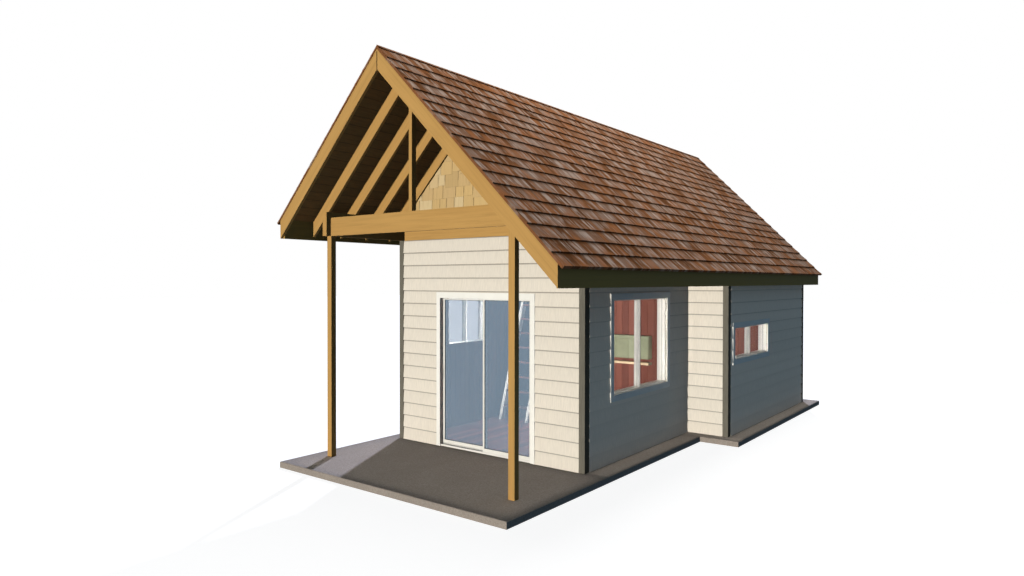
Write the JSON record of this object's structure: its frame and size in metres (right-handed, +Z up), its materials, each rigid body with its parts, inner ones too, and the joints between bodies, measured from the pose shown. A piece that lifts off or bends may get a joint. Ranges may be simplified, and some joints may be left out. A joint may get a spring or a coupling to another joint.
{
  "type": "boathouse",
  "caption": "Gabled timber boathouse on a concrete slab, with an open porch, lap siding, a shingled roof, a glazed sliding door and a wider rear wing.",
  "frame": {"origin": "underside of the concrete slab, under the roof ridge, in the plane of the front wall", "axes": "+Y along the ridge from the porch to the rear, +X to the wider wing, +Z up"},
  "size_m": [4.299, 8.968, 4.938],
  "materials": {
    "concrete": "brushed",
    "siding": "painted",
    "trim": "painted",
    "corner": "painted",
    "timber": "oiled",
    "deck": "sawn",
    "shingle": "weathered",
    "floor": "varnished",
    "frame": "satin",
    "glass": "clear",
    "ladder": "painted",
    "lining": "stained",
    "cabinet": "painted",
    "tread": "varnished"
  },
  "bodies": {
    "building": {"concrete_slab": "concrete", "plank_floor": "floor", "front_wall_left": "siding", "front_wall_right": "siding", "front_gable_wall": "siding", "left_wall": "siding", "right_front_wall": "siding", "wing_front_wall": "siding", "wing_side_wall": "siding", "rear_wall": "siding", "corner_boards": "corner", "frieze_board": "timber", "porch_posts": "timber", "porch_headers": "timber", "collar_beam": "timber", "king_post": "timber", "left_rafters": "timber", "right_rafters": "timber", "left_rake_boards": "timber", "right_rake_boards": "timber", "fascia_boards": "timber", "left_roof_deck": "deck", "right_roof_deck": "deck", "left_shingles": "shingle", "right_shingles": "shingle", "door_casing": "trim", "door_frame": "frame", "fixed_panel": "frame", "fixed_glass": "glass", "window_casings": "trim", "window_frames": "frame", "window_glass": "glass", "ladder_stringers": "ladder", "ladder_treads": "tread", "partition_wall": "lining", "wall_cabinet": "cabinet", "cabinet_shelf": "timber"},
    "sliding_door": {"sliding_panel": "frame", "sliding_glass": "glass"}
  },
  "joints": [
    {"name": "door_slide", "type": "slide", "parent": "building", "child": "sliding_door", "axis": [1, 0, 0], "range_m": [0, 0.7]}
  ]
}
